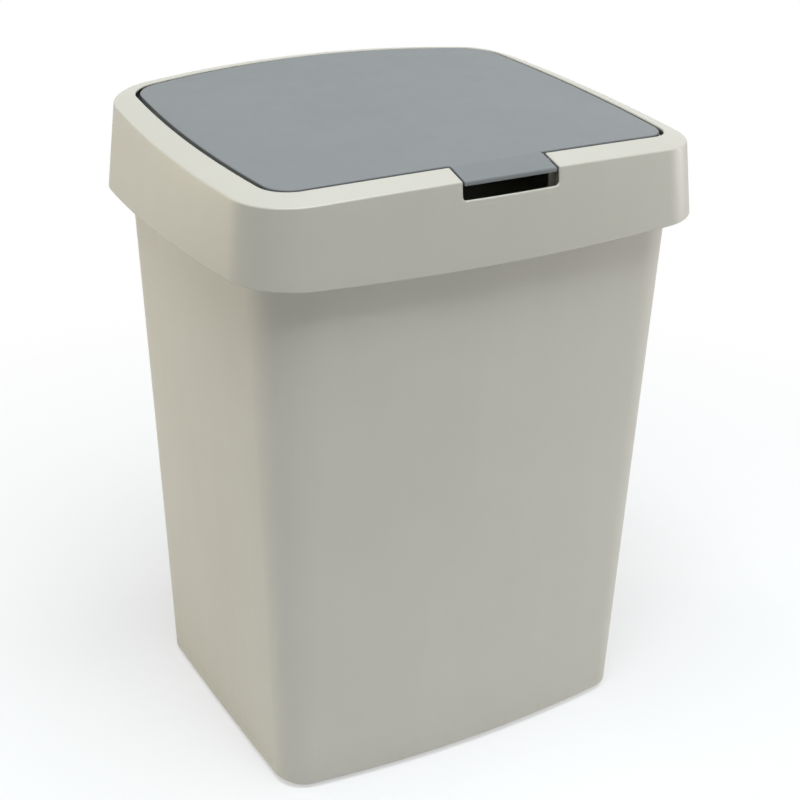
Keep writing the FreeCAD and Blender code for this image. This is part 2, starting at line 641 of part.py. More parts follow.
def make_pin(side):
    """A headed pin, pushed from inside the flap through its lug into the frame's boss: a turned profile."""
    name = f"hinge_pin_{side}"
    body = new_body(name)
    sketch = new_sketch(body, f"{name}_profile", "XZ_Plane", f"-({HINGE_Y})")
    sketch.setExpression("AttachmentOffset.Base.y", bound("hinge_height"))
    head_face = f"{OPENING_SIDE} - lug_inset - lug_length - rest_clearance"
    head_end = f"{head_face} - pin_head_thickness"
    tip = f"{OPENING_SIDE} + boss_outer_reach - boss_end - rest_clearance"
    lead = "pin_radius / 4"
    profile = (
        (head_end, "0"),
        (head_end, "pin_head_radius"),
        (head_face, "pin_head_radius"),
        (head_face, "pin_radius"),
        (f"{tip} - {lead}", "pin_radius"),
        (tip, f"pin_radius - {lead}"),
        (tip, "0"),
    )
    sign = "" if side == "right" else "-"
    add_polygon(sketch, [(f"{sign}({x})", y) for x, y in profile])
    turned = body.newObject("PartDesign::Revolution", f"{name}_turned")
    turned.Profile = sketch
    turned.ReferenceAxis = (sketch, ["H_Axis"])
    turned.Angle = 360
    return body


# Build, check and write

nodes = {
    "bucket": make_bucket(),
    "lid_frame": make_lid_frame(),
    "flap": make_flap(),
    "hinge_pin_left": make_pin("left"),
    "hinge_pin_right": make_pin("right"),
}
doc.recompute()
for node, piece in nodes.items():
    piece.Label = node
for feature in doc.Objects:
    if {"Invalid", "Error"} & set(feature.State):
        raise RuntimeError(f"{feature.Name} failed: {feature.State}")
os.makedirs("parts", exist_ok=True)
for node, piece in nodes.items():
    shape = piece.Shape
    if shape.isNull() or not shape.isValid():
        raise RuntimeError(f"{node} has no valid shape")
    print(node, len(shape.Solids), "solid", round(shape.Volume), "mm3", shape.BoundBox)
    shape.exportStep(f"parts/{node}.step")
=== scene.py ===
import math
import bmesh
import bpy
from mathutils import Matrix, Vector


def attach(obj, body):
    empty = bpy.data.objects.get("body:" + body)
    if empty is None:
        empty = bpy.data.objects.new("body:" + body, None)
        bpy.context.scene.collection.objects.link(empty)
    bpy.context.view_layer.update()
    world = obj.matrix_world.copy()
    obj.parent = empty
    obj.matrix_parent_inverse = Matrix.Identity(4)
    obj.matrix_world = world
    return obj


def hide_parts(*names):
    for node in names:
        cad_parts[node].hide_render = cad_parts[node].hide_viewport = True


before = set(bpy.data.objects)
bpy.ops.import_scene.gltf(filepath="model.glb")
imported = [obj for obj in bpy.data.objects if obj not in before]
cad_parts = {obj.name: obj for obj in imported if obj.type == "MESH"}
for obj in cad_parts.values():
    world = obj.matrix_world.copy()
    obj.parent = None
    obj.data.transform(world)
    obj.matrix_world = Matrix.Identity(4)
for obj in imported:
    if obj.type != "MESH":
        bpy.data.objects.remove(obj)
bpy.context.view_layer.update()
print("frame loaded")

mm = 0.001  # sizes below are in millimetres, and meshes in metres


# Plan outlines: a rectangle with bowed sides and round corners

ringCounts = {"side": 8, "corner": 16, "front": 8, "middle": 3}  # edges in each part of a quarter ring
# How far the middle part of a ring reaches along X.
middleHalves = {"bucket": 60.0, "lid": 72.0, "search": 62.0}
settling = {"rounds": 8, "close": 1e-6}
quarterTotal = sum(ringCounts.values())
ringTotal = 4 * quarterTotal


def planOutline(width, depth, sideBow, frontBow, inset, corner):
    shape = {
        "halfWidth": width / 2 - inset,
        "halfDepth": depth / 2 - inset,
        "sideRadius": ((depth / 2 - frontBow) ** 2 + sideBow**2) / (2 * sideBow) - inset,
        "frontRadius": ((width / 2 - sideBow) ** 2 + frontBow**2) / (2 * frontBow) - inset,
        "corner": corner,
    }
    across = shape["sideRadius"] - shape["halfWidth"]
    along = shape["frontRadius"] - shape["halfDepth"]
    spacing = math.hypot(across, along)
    fromSide = shape["sideRadius"] - corner
    fromFront = shape["frontRadius"] - corner
    run = (spacing**2 + fromSide**2 - fromFront**2) / (2 * spacing)
    rise = math.sqrt(fromSide**2 - run**2)
    shape["across"], shape["along"] = across, along
    shape["cornerX"] = -across + (run * across + rise * along) / spacing
    shape["cornerY"] = (-run * along + rise * across) / spacing
    shape["sideTurn"] = math.atan2(shape["cornerY"], shape["cornerX"] + across)
    shape["frontTurn"] = math.atan2(shape["cornerY"] + along, shape["cornerX"])
    return shape


def pointOn(shape, column, half):
    # Columns run anticlockwise from +X, and the front and back have one at exactly x = +-half.
    turn, step = divmod(column, quarterTotal)
    if turn % 2:
        step = quarterTotal - step
    side, corner, front = ringCounts["side"], ringCounts["corner"], ringCounts["front"]
    if step <= side:
        angle = shape["sideTurn"] * step / side
        x = shape["sideRadius"] * math.cos(angle) - shape["across"]
        y = shape["sideRadius"] * math.sin(angle)
    elif step <= side + corner:
        angle = shape["sideTurn"] + (shape["frontTurn"] - shape["sideTurn"]) * (step - side) / corner
        x = shape["cornerX"] + shape["corner"] * math.cos(angle)
        y = shape["cornerY"] + shape["corner"] * math.sin(angle)
    else:
        cornerEnd = shape["cornerX"] + shape["corner"] * math.cos(shape["frontTurn"])
        step -= side + corner
        if step <= front:
            x = cornerEnd + (half - cornerEnd) * step / front
        else:
            x = half * (1 - (step - front) / ringCounts["middle"])
        y = math.sqrt(shape["frontRadius"] ** 2 - x**2) - shape["along"]
    return (-x if turn in (1, 2) else x), (-y if turn in (2, 3) else y)


bucketSizes = {
    "height": 490.0,
    "topWidth": 378.2, "topDepth": 328.0, "topSideBow": 9.8, "topFrontBow": 16.6, "topCorner": 53.0,
    "footWidth": 333.0, "footDepth": 282.0, "footSideBow": 1.4, "footFrontBow": 13.4, "footCorner": 27.0,
    "footBevel": 5.5, "wall": 2.6, "floor": 3.6, "floorRadius": 9.0, "floorSteps": 4,
    "footRing": 14.0, "footRecess": 1.4, "underInset": 30.0,
    "flangeReach": 4.6, "flangeThickness": 2.6, "flangeHem": 11.0, "hemThickness": 2.0,
    "wallRows": 8, "edge": 0.8,
}
skirtSizes = {
    "low": 453.2, "width": 411.0, "depth": 353.5, "sideBow": 11.0, "frontBow": 19.4,
    "corner": 56.0, "lean": 0.109, "wall": 2.4, "rimWidth": 18.0, "rimDrop": 4.6, "openingCorner": 28.0,
    "rows": 4, "edge": 1.05,
}
crownSizes = {"height": 530.3, "tilt": math.radians(2.76), "radius": 2090.0}


def bucketAt(z, inset=0.0):
    b = bucketSizes
    share = z / b["height"]
    blend = lambda low, high: b[low] + (b[high] - b[low]) * share
    return planOutline(
        blend("footWidth", "topWidth"), blend("footDepth", "topDepth"),
        blend("footSideBow", "topSideBow"), blend("footFrontBow", "topFrontBow"),
        inset, blend("footCorner", "topCorner") - inset,
    )


def skirtAt(z, inset=0.0):
    s = skirtSizes
    lean = s["lean"] * (z - s["low"])
    corner = s["corner"] - lean / 2 - inset
    return planOutline(s["width"], s["depth"], s["sideBow"], s["frontBow"], lean + inset, corner)


def openingAt(inset=0.0):
    s = skirtSizes
    reach = s["lean"] * (crownSizes["height"] - s["rimDrop"] - s["low"]) + s["rimWidth"] + inset
    corner = s["openingCorner"] - inset
    return planOutline(s["width"], s["depth"], s["sideBow"], s["frontBow"], reach, corner)


def crownAt(x, y):
    c = crownSizes
    fall = c["radius"] - math.sqrt(c["radius"] ** 2 - x**2)
    return c["height"] + y * math.tan(c["tilt"]) - fall / math.cos(c["tilt"])


def rimEdgeAt(x, y):
    # At the back the opening's edge lies a little way down the sloping rim.
    s = skirtSizes
    back = s["lean"] * (crownAt(x, y) - crownSizes["height"] + s["rimDrop"])
    return crownAt(x, y) - max(0.0, back / s["rimWidth"] * s["rimDrop"])


def ring(outlineAt, heightAt, half):
    # Heights follow the crown and outlines lean with height, so each point settles in a few rounds.
    points = []
    for column in range(ringTotal):
        z = bucketSizes["height"]
        for _ in range(settling["rounds"]):
            x, y = pointOn(outlineAt(z), column, half)
            settled = heightAt(x, y)
            if abs(settled - z) < settling["close"]:
                break
            z = settled
        points.append(Vector((x, y, z)) * mm)
    return points


def level(outline, z, half):
    return [Vector((*pointOn(outline, column, half), z)) * mm for column in range(ringTotal)]


def between(first, second, share):
    return [one.lerp(other, share) for one, other in zip(first, second)]


# Modelling helpers, most of them on the active piece in edit mode

finishing = {"bevelAngle": 33.0, "smoothAngle": 32.0, "normalWeight": 60, "noLength": 0.002}


def clearSelection():
    if bpy.context.object and bpy.context.object.mode != "OBJECT":
        bpy.ops.object.mode_set(mode="OBJECT")
    bpy.ops.object.select_all(action="DESELECT")


def writeBack(piece, mesh):
    mesh.normal_update()
    bmesh.update_edit_mesh(piece.data)


def startRing(name, points):
    clearSelection()
    bpy.ops.mesh.primitive_circle_add(vertices=len(points), radius=points[0].length, location=(0, 0, 0))
    piece = bpy.context.object
    piece.name = piece.data.name = name
    bpy.ops.object.mode_set(mode="EDIT")
    bpy.ops.mesh.select_mode(type="EDGE")
    bpy.ops.mesh.select_all(action="SELECT")
    mesh = bmesh.from_edit_mesh(piece.data)
    column = mesh.verts.layers.int.new("column")
    row = mesh.verts.layers.int.new("row")
    for index, vert in enumerate(mesh.verts):
        vert[column] = index
        vert[row] = 0
        vert.co = points[index]
    writeBack(piece, mesh)
    return piece


def growRing(piece, points):
    # Extrudes the selected edge loop and sets each new vertex on the next ring, column by column.
    bpy.ops.mesh.extrude_edges_indiv()
    mesh = bmesh.from_edit_mesh(piece.data)
    column = mesh.verts.layers.int["column"]
    row = mesh.verts.layers.int["row"]
    for vert in mesh.verts:
        if vert.select:
            vert.co = points[vert[column]]
            vert[row] += 1
    writeBack(piece, mesh)


def selectWhere(piece, kind, test):
    # kind is "VERT", "EDGE" or "FACE"; test gets the element's middle in millimetres and the element.
    bpy.ops.mesh.select_mode(type=kind)
    bpy.ops.mesh.select_all(action="DESELECT")
    mesh = bmesh.from_edit_mesh(piece.data)
    elements = {"VERT": mesh.verts, "EDGE": mesh.edges, "FACE": mesh.faces}[kind]
    for element in elements:
        verts = [element] if kind == "VERT" else element.verts
        middle = sum((vert.co for vert in verts), Vector()) / len(verts) / mm
        if test(middle, element):
            element.select_set(True)
    mesh.select_flush(True)
    writeBack(piece, mesh)


def moveSelected(piece, place):
    mesh = bmesh.from_edit_mesh(piece.data)
    for vert in mesh.verts:
        if vert.select:
            vert.co = Vector(place(*(vert.co / mm))) * mm
    writeBack(piece, mesh)


def faceOutward(piece, upward):
    # Open shells: turns all faces so that the top ones look up, or the ones on a wall look out.
    bpy.ops.mesh.select_all(action="SELECT")
    bpy.ops.mesh.normals_make_consistent(inside=False)
    mesh = bmesh.from_edit_mesh(piece.data)
    mesh.normal_update()
    facing = lambda face: face.normal.dot(upward(face.calc_center_median())) * face.calc_area()
    if sum(facing(face) for face in mesh.faces) < 0:
        bpy.ops.mesh.flip_normals()


def joined(name, parts):
    clearSelection()
    for part in parts:
        part.select_set(True)
    bpy.context.view_layer.objects.active = parts[0]
    bpy.ops.object.join()
    piece = bpy.context.object
    piece.name = piece.data.name = name
    return piece


def applyModifier(piece, kind, **settings):
    modifier = piece.modifiers.new(kind.title(), kind)
    for key, value in settings.items():
        setattr(modifier, key, value)
    bpy.context.view_layer.objects.active = piece
    bpy.ops.object.modifier_apply(modifier=modifier.name)


def finishPiece(piece, node, body, slot, material, edge=0.0, segments=3, clamp=True):
    clearSelection()
    piece.select_set(True)
    bpy.context.view_layer.objects.active = piece
    if edge:
        applyModifier(
            piece, "BEVEL", width=edge * mm, segments=segments, limit_method="ANGLE",
            angle_limit=math.radians(finishing["bevelAngle"]), use_clamp_overlap=clamp,
        )
    bpy.ops.object.mode_set(mode="EDIT")
    bpy.ops.mesh.select_mode(type="VERT")
    bpy.ops.mesh.select_all(action="SELECT")
    bpy.ops.mesh.dissolve_degenerate(threshold=finishing["noLength"] * mm)
    bpy.ops.object.mode_set(mode="OBJECT")
    bpy.ops.object.shade_smooth_by_angle(angle=math.radians(finishing["smoothAngle"]))
    applyModifier(piece, "WEIGHTED_NORMAL", keep_sharp=True, weight=finishing["normalWeight"])
    for name in ("column", "row"):
        layer = piece.data.attributes.get(name)
        if layer:
            piece.data.attributes.remove(layer)
    piece.data.materials.clear()
    piece.data.materials.append(material)
    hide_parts(node)
    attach(piece, body)
    print("finished", piece.name, len(piece.data.polygons), "faces")


# Shader maths: a socket that takes part in Python expressions

class Wire:
    def __init__(self, tree, socket):
        self.tree = tree
        self.socket = socket

    def maths(self, operation, *values):
        return addNode(self.tree, "ShaderNodeMath", {"operation": operation}, dict(enumerate(values)))

    def __add__(self, other):
        return self.maths("ADD", self, other)

    def __sub__(self, other):
        return self.maths("SUBTRACT", self, other)

    def __rsub__(self, other):
        return self.maths("SUBTRACT", other, self)

    def __mul__(self, other):
        return self.maths("MULTIPLY", self, other)

    __radd__ = __add__
    __rmul__ = __mul__


def addNode(tree, kind, settings, inputs, output=None):
    node = tree.nodes.new(kind)
    for key, value in settings.items():
        setattr(node, key, value)
    for key, value in inputs.items():
        socket = node.inputs[key]
        if isinstance(value, Wire):
            tree.links.new(value.socket, socket)
        else:
            socket.default_value = value
    if output is None:
        return Wire(tree, next(socket for socket in node.outputs if socket.enabled))
    return Wire(tree, node.outputs[output])


def mixColour(tree, factor, first, second):
    # The Mix node's colours are its inputs 6 and 7 and its output 2.
    pick = lambda colour: colour if isinstance(colour, Wire) else (*colour, 1)
    inputs = {0: factor, 6: pick(first), 7: pick(second)}
    return addNode(tree, "ShaderNodeMix", {"data_type": "RGBA"}, inputs, 2)


def band(wire, low, high, top=1.0):
    # 0 below low, rising smoothly to top at high.
    inputs = {0: wire, 1: low, 2: high, 3: 0.0, 4: top}
    return addNode(wire.tree, "ShaderNodeMapRange", {"interpolation_type": "SMOOTHSTEP"}, inputs)


def noise(tree, where, scale, detail=2.0, roughness=0.5):
    inputs = {"Vector": where, "Scale": scale, "Detail": detail, "Roughness": roughness}
    return addNode(tree, "ShaderNodeTexNoise", {}, inputs)


def cells(tree, where, scale, output):
    inputs = {"Vector": where, "Scale": scale, "Randomness": 1.0}
    return addNode(tree, "ShaderNodeTexVoronoi", {}, inputs, output)


def stretched(tree, where, scale):
    return addNode(tree, "ShaderNodeMapping", {}, {"Vector": where, "Scale": scale})


# Moulded plastic

plastics = {
    "bucketPlastic": {
        "colour": (0.556, 0.532, 0.465), "shade": (0.527, 0.503, 0.432),
        "rough": 0.50, "grain": 0.16, "specular": 0.42, "footDarkeningHeight": 0.045, "speckAmount": 0.0,
    },
    "framePlastic": {
        "colour": (0.460, 0.438, 0.379), "shade": (0.435, 0.414, 0.353),
        "rough": 0.40, "grain": 0.12, "specular": 0.42, "footDarkeningHeight": 0.0, "speckAmount": 0.0,
    },
    "flapPlastic": {
        "colour": (0.174, 0.183, 0.180), "shade": (0.162, 0.170, 0.168),
        "rough": 0.48, "grain": 0.10, "specular": 0.22, "footDarkeningHeight": 0.0, "speckAmount": 0.85,
    },
    "pinPlastic": {
        "colour": (0.24, 0.25, 0.25), "shade": (0.19, 0.20, 0.20),
        "rough": 0.38, "grain": 0.06, "specular": 0.5, "footDarkeningHeight": 0.0, "speckAmount": 0.0,
    },
}
flowMarks = {
    "cloudScale": 7.0, "cloudDetail": 3.0, "cloudRoughness": 0.55, "cloudShare": 0.7,
    "stretch": (55.0, 55.0, 5.0),
    "toneLow": 0.35, "toneHigh": 0.65, "shadeShare": 0.45, "cloudGloss": 0.08, "flowGloss": 0.05,
}
# Colour, strength and dulling of the darker patches in a band near the foot.
footDarkening = {
    "scale": 90.0, "detail": 6.0, "roughness": 0.7, "low": 0.45, "high": 0.75, "from": 0.004,
    "colour": (0.33, 0.30, 0.25), "share": 0.12, "dull": 0.12,
}
specks = {
    "scale": 34.0, "inner": 0.010, "outer": 0.026, "rareFrom": 0.86, "rareFull": 0.88,
    "colour": (0.02, 0.02, 0.02),
}
grainPattern = {"fine": 1500.0, "coarse": 420.0, "coarseShare": 0.6, "depth": 0.0004}


def mouldedPlastic(name):
    look = plastics[name]
    material = bpy.data.materials.new(name)
    material.use_nodes = True
    tree = material.node_tree
    surface = tree.nodes["Principled BSDF"]
    where = addNode(tree, "ShaderNodeTexCoord", {}, {}, "Object")
    # Slow cloudiness and faint upright flow marks from the moulding.
    m = flowMarks
    cloud = noise(tree, where, m["cloudScale"], m["cloudDetail"], m["cloudRoughness"])
    flow = noise(tree, stretched(tree, where, m["stretch"]), 1.0)
    tone = band(cloud * m["cloudShare"] + flow * (1 - m["cloudShare"]), m["toneLow"], m["toneHigh"])
    colour = mixColour(tree, tone * m["shadeShare"], look["colour"], look["shade"])
    rough = look["rough"] + (cloud - 0.5) * m["cloudGloss"] + (flow - 0.5) * m["flowGloss"]
    if look["footDarkeningHeight"]:
        # Darker, duller patches in a band near the foot.
        s = footDarkening
        height = addNode(tree, "ShaderNodeSeparateXYZ", {}, {0: where}, "Z")
        low = 1 - band(height, s["from"], look["footDarkeningHeight"])
        patches = noise(tree, where, s["scale"], s["detail"], s["roughness"])
        footDarkeningMask = band(patches, s["low"], s["high"]) * low
        colour = mixColour(tree, footDarkeningMask * s["share"], colour, s["colour"])
        rough = rough + footDarkeningMask * s["dull"]
    if look["speckAmount"]:
        # A few dark specks, each smaller than a millimetre or two.
        k = specks
        spot = 1 - band(cells(tree, where, k["scale"], "Distance"), k["inner"], k["outer"])
        cellColour = cells(tree, where, k["scale"], "Color")
        chance = addNode(tree, "ShaderNodeSeparateColor", {}, {0: cellColour}, 0)
        speck = spot * band(chance, k["rareFrom"], k["rareFull"]) * look["speckAmount"]
        colour = mixColour(tree, speck, colour, k["colour"])
    # Fine spark-eroded grain.
    g = grainPattern
    grain = noise(tree, where, g["fine"]) + noise(tree, where, g["coarse"]) * g["coarseShare"]
    bumpInputs = {"Strength": look["grain"], "Distance": g["depth"], "Height": grain}
    bump = addNode(tree, "ShaderNodeBump", {}, bumpInputs)
    surface.inputs["Specular IOR Level"].default_value = look["specular"]
    tree.links.new(colour.socket, surface.inputs["Base Color"])
    tree.links.new(rough.socket, surface.inputs["Roughness"])
    tree.links.new(bump.socket, surface.inputs["Normal"])
    return material


bucketPlastic = mouldedPlastic("bucketPlastic")
framePlastic = mouldedPlastic("framePlastic")
flapPlastic = mouldedPlastic("flapPlastic")
pinPlastic = mouldedPlastic("pinPlastic")
print("materials made")


# The bucket: one closed profile carried round its outline, from under the floor up to the hem and inside

def makeBucket():
    b = bucketSizes
    top = b["height"]
    # Each row: the inset from the outline, the height, and the height whose outline it follows.
    rows = [
        (b["footBevel"] + b["footRing"], b["footRecess"], 0.0),
        (b["footBevel"] + b["footRing"], 0.0, 0.0),
        (b["footBevel"], 0.0, 0.0),
    ]
    underFlange = top - b["flangeThickness"]
    for step in range(b["wallRows"] + 1):
        z = b["footBevel"] + (underFlange - b["footBevel"]) * step / b["wallRows"]
        rows.append((0.0, z, z))
    rows += [
        (b["hemThickness"] - b["flangeReach"], underFlange, top),
        (b["hemThickness"] - b["flangeReach"], top - b["flangeHem"], top),
        (-b["flangeReach"], top - b["flangeHem"], top),
        (-b["flangeReach"], top, top),
    ]
    floorTop = b["floor"] + b["floorRadius"]
    for step in range(b["wallRows"] + 1):
        z = top + (floorTop - top) * step / b["wallRows"]
        rows.append((b["wall"], z, z))
    for step in range(1, b["floorSteps"] + 1):
        turn = math.pi / 2 * step / b["floorSteps"]
        z = floorTop - b["floorRadius"] * math.sin(turn)
        rows.append((b["wall"] + b["floorRadius"] * (1 - math.cos(turn)), z, z))
    rings = [level(bucketAt(basis, inset), z, middleHalves["bucket"]) for inset, z, basis in rows]
    piece = startRing("bucketShell", rings[0])
    for points in rings[1:]:
        growRing(piece, points)
    bpy.ops.mesh.edge_face_add()  # the floor, inside
    selectWhere(piece, "EDGE", lambda middle, edge: edge.is_boundary)
    bpy.ops.mesh.edge_face_add()  # the raised floor, underneath
    bpy.ops.mesh.inset(thickness=b["underInset"] * mm)
    bpy.ops.mesh.select_all(action="SELECT")
    bpy.ops.mesh.normals_make_consistent(inside=False)
    finishPiece(piece, "bucket", "bin", "bucket_plastic", bucketPlastic, b["edge"])


makeBucket()


# The lid frame

notchSizes = {
    "width": 82.0, "low": 503.2, "lipLow": 496.5, "height": 60.0, "corner": 3.0, "cornerSteps": 5,
    "reach": 230.0, "back": 139.5,
}
lipSizes = {"setback": 4.5, "wall": 2.4, "low": 494.0, "top": 2.3, "edge": 0.5}
ledgeSizes = {"reach": 5.0, "overlap": 1.0, "thickness": 2.2, "drop": 6.7, "end": 96.85, "edge": 0.4}
webSizes = {
    "thickness": 1.8, "pitch": 96.0, "low": 478.0, "seat": 490.3, "rimRoom": 5.1, "sink": 0.9,
    "lipHold": 1.0, "frontCount": 4, "sideCount": 3, "rounds": 6, "edge": 0.25,
}
hingeSizes = {
    "y": 110.8475, "z": 521.4, "bossRadius": 5.0, "bossInner": 173.6, "bossOuter": 182.6, "bossTop": 525.3,
    "hole": 2.25, "holeDepth": 7.8, "lugRadius": 4.6, "lugInner": 156.6, "lugLength": 12.0, "edge": 0.35,
    "lugTop": 1.6, "lugWiden": 1.6, "lugMerge": 0.2, "around": 48,
}
notchHalf = notchSizes["width"] / 2
near = 0.01  # how close a point has to lie to a plane to count as on it


def cutNotch(piece, low):
    # The cutter is a block with its two lower long edges rounded.
    n = notchSizes
    clearSelection()
    bpy.ops.mesh.primitive_cube_add(size=1, location=(0, 0, 0))
    cutter = bpy.context.object
    bpy.ops.object.mode_set(mode="EDIT")
    mesh = bmesh.from_edit_mesh(cutter.data)
    for vert in mesh.verts:
        y = -n["reach"] if vert.co.y < 0 else -n["back"]
        z = low if vert.co.z < 0 else low + n["height"]
        vert.co = Vector((math.copysign(notchHalf, vert.co.x), y, z)) * mm
    writeBack(cutter, mesh)
    lowEdge = lambda middle, edge: abs(middle.z - low) < near and abs(abs(middle.x) - notchHalf) < near
    selectWhere(cutter, "EDGE", lowEdge)
    bpy.ops.mesh.bevel(offset=n["corner"] * mm, segments=n["cornerSteps"], affect="EDGES")
    bpy.ops.object.mode_set(mode="OBJECT")
    clearSelection()
    piece.select_set(True)
    applyModifier(piece, "BOOLEAN", operation="DIFFERENCE", object=cutter, solver="EXACT")
    bpy.data.objects.remove(cutter)


def thicken(piece, wall):
    settings = {"offset": -1, "use_even_offset": True, "use_quality_normals": True}
    applyModifier(piece, "SOLIDIFY", thickness=wall * mm, **settings)


def finishFrame(piece, edge=0.0, **bevel):
    finishPiece(piece, "lid_frame", "lid", "frame_plastic", framePlastic, edge, **bevel)


def makeCap():
    # Skirt and sloping rim in one sheet, then thickened inwards.
    s = skirtSizes
    half = middleHalves["lid"]
    crease = ring(skirtAt, lambda x, y: crownAt(x, y) - s["rimDrop"], half)
    rimEdge = ring(lambda z: openingAt(), rimEdgeAt, half)
    foot = level(skirtAt(s["low"]), s["low"], half)
    rings = [between(foot, crease, step / s["rows"]) for step in range(s["rows"] + 1)]
    rings += [between(crease, rimEdge, 0.5), rimEdge]
    piece = startRing("lidCap", rings[0])
    for points in rings[1:]:
        growRing(piece, points)
    faceOutward(piece, lambda centre: Vector((centre.x, centre.y, 0)))
    bpy.ops.object.mode_set(mode="OBJECT")
    thicken(piece, s["wall"])
    cutNotch(piece, notchSizes["low"])
    finishFrame(piece, s["edge"], clamp=False)


def makeLip():
    # The wall that hangs from the rim round the opening.
    p = lipSizes
    half = middleHalves["lid"]
    outline = openingAt(-p["setback"])
    high = ring(lambda z: outline, lambda x, y: crownAt(x, y) - p["top"], half)
    low = level(outline, p["low"], half)
    piece = startRing("lidLip", low)
    growRing(piece, between(low, high, 0.5))
    growRing(piece, high)
    faceOutward(piece, lambda centre: Vector((-centre.x, -centre.y, 0)))
    bpy.ops.object.mode_set(mode="OBJECT")
    applyModifier(piece, "SOLIDIFY", thickness=p["wall"] * mm, offset=-1, use_even_offset=True)
    cutNotch(piece, notchSizes["lipLow"])
    finishFrame(piece, p["edge"], segments=2)


def makeLedge():
    # The band that the shut flap rests on, left out at the hinge and the notch.
    g = ledgeSizes
    top = lambda x, y: crownAt(x, y) - g["drop"]
    outer = ring(lambda z: openingAt(-lipSizes["setback"] - g["overlap"]), top, notchHalf)
    inner = ring(lambda z: openingAt(g["reach"]), top, notchHalf)
    piece = startRing("lidLedge", outer)
    growRing(piece, inner)
    leftOut = lambda middle, face: middle.y > g["end"] or (middle.y < 0 and abs(middle.x) < notchHalf)
    selectWhere(piece, "FACE", leftOut)
    bpy.ops.mesh.delete(type="FACE")
    faceOutward(piece, lambda centre: Vector((0, 0, 1)))
    bpy.ops.object.mode_set(mode="OBJECT")
    applyModifier(piece, "SOLIDIFY", thickness=g["thickness"] * mm, offset=-1)
    finishFrame(piece, g["edge"], segments=2)


def reachAlong(outline, axis, place, sign):
    # How far out an outline lies on the line x = place or y = place.
    points = [pointOn(outline, column, middleHalves["search"]) for column in range(ringTotal)]
    other = 1 - axis
    for first, second in zip(points, points[1:] + points[:1]):
        crosses = (first[axis] - place) * (second[axis] - place) <= 0 and first[axis] != second[axis]
        if crosses and first[other] * sign > 0:
            share = (place - first[axis]) / (second[axis] - first[axis])
            return abs(first[other] + (second[other] - first[other]) * share)
    return 0.0


def rimUnder(axis, place, sign, reach):
    # Height of the rim's underside at a distance from the middle plane.
    x, y = (place, sign * reach) if axis == 0 else (sign * reach, place)
    edge = reachAlong(openingAt(), axis, place, sign)
    fall = max(0.0, reach - edge) / skirtSizes["rimWidth"] * skirtSizes["rimDrop"]
    return crownAt(x, y) - fall - skirtSizes["wall"] + webSizes["sink"]


def webProfile(axis, place, sign):
    # Distances from the middle plane and heights: a plate between the lip and the skirt,
    # with a step in its foot that takes the bucket's rim.
    w = webSizes
    lip = reachAlong(openingAt(-lipSizes["setback"] - lipSizes["wall"] + w["sink"]), axis, place, sign)
    room = reachAlong(bucketAt(bucketSizes["height"], -w["rimRoom"]), axis, place, sign)
    inset = skirtSizes["wall"] - w["sink"]
    skirtLow = reachAlong(skirtAt(w["low"], inset), axis, place, sign)
    high = bucketSizes["height"]
    for _ in range(w["rounds"]):
        skirtHigh = reachAlong(skirtAt(high, inset), axis, place, sign)
        high = rimUnder(axis, place, sign, skirtHigh)
    lipLow = max(w["seat"], lipSizes["low"] + w["lipHold"])
    return [
        (room, w["low"]), (skirtLow, w["low"]), (skirtHigh, high),
        (lip, rimUnder(axis, place, sign, lip)), (lip, lipLow), (room, w["seat"]),
    ]


def makeWeb(axis, place, sign):
    # A flat profile, thickened along the axis that it stands across.
    w = webSizes
    profile = webProfile(axis, place, sign)
    clearSelection()
    bpy.ops.mesh.primitive_circle_add(vertices=len(profile), radius=1, fill_type="NGON")
    web = bpy.context.object
    bpy.ops.object.mode_set(mode="EDIT")
    mesh = bmesh.from_edit_mesh(web.data)
    start = place - w["thickness"] / 2
    for vert, (reach, z) in zip(mesh.verts, profile):
        x, y = (start, sign * reach) if axis == 0 else (sign * reach, start)
        vert.co = Vector((x, y, z)) * mm
    writeBack(web, mesh)
    bpy.ops.mesh.select_all(action="SELECT")
    shift = (w["thickness"] * mm, 0, 0) if axis == 0 else (0, w["thickness"] * mm, 0)
    bpy.ops.mesh.extrude_region_move(TRANSFORM_OT_translate={"value": shift})
    bpy.ops.mesh.select_all(action="SELECT")
    bpy.ops.mesh.normals_make_consistent(inside=False)
    bpy.ops.object.mode_set(mode="OBJECT")
    return web


def spread(count, pitch):
    # Places on both sides of the middle plane.
    return [pitch * (index - (count - 1) / 2) for index in range(count)]


def makeWebs():
    w = webSizes
    places = [(0, place) for place in spread(w["frontCount"], w["pitch"])]
    places += [(1, place) for place in spread(w["sideCount"], w["pitch"])]
    webs = [makeWeb(axis, place, sign) for axis, place in places for sign in (-1, 1)]
    finishFrame(joined("lidWebs", webs), w["edge"], segments=1)


def lyingRod(radius, start, length):
    # A rod along X on the hinge's axis, as a cylinder turned in edit mode.
    h = hingeSizes
    clearSelection()
    bpy.ops.mesh.primitive_cylinder_add(
        vertices=h["around"], radius=radius * mm, depth=length * mm, location=(0, 0, 0)
    )
    rod = bpy.context.object
    bpy.ops.object.mode_set(mode="EDIT")
    mesh = bmesh.from_edit_mesh(rod.data)
    turn = Matrix.Rotation(math.pi / 2, 3, "Y")
    for vert in mesh.verts:
        vert.co = turn @ vert.co + Vector((start + length / 2, h["y"], h["z"])) * mm
    writeBack(rod, mesh)
    return rod


